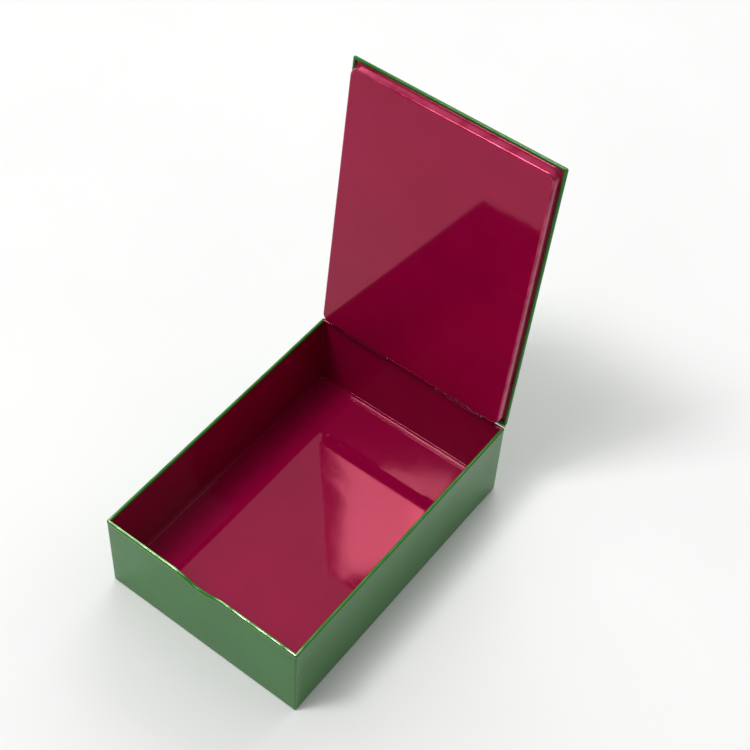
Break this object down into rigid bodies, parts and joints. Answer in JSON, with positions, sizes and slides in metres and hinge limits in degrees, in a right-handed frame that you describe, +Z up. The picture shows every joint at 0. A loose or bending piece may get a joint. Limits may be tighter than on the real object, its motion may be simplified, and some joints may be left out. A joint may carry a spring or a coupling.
{
  "type": "hinged-lid card tin",
  "caption": "Rectangular tinplate box for playing cards, with a rolled rim, a finger dip in the front and a flat plug-fit lid on a rolled wire hinge.",
  "frame": {"origin": "middle of the base, on the surface the tin stands on", "axes": "+X to the right across the front, +Y from the front to the hinge, +Z up; the lid is open at rest"},
  "size_m": [0.098, 0.1545, 0.184],
  "materials": {
    "body_tinplate": "gloss green enamel outside and gloss crimson lacquer inside, on 0.3 mm tinplate",
    "bottom_tinplate": "gloss crimson lacquer on 0.3 mm tinplate",
    "steel_wire": "bare drawn wire",
    "lid_tinplate": "gloss green enamel outside and crimson lacquer under, on 0.3 mm tinplate",
    "liner_tinplate": "gloss crimson lacquer on 0.3 mm tinplate"
  },
  "bodies": {
    "base": {"body_shell": "body_tinplate", "bottom_plate": "bottom_tinplate", "hinge_wire": "steel_wire"},
    "lid": {"lid_cover": "lid_tinplate", "lid_liner": "liner_tinplate"}
  },
  "joints": [
    {"name": "lid_hinge", "type": "hinge", "parent": "base", "child": "lid", "pos_m": [0, 0.07044, 0.04415], "axis": [1, 0, 0], "range_deg": [0, 95.4]}
  ]
}
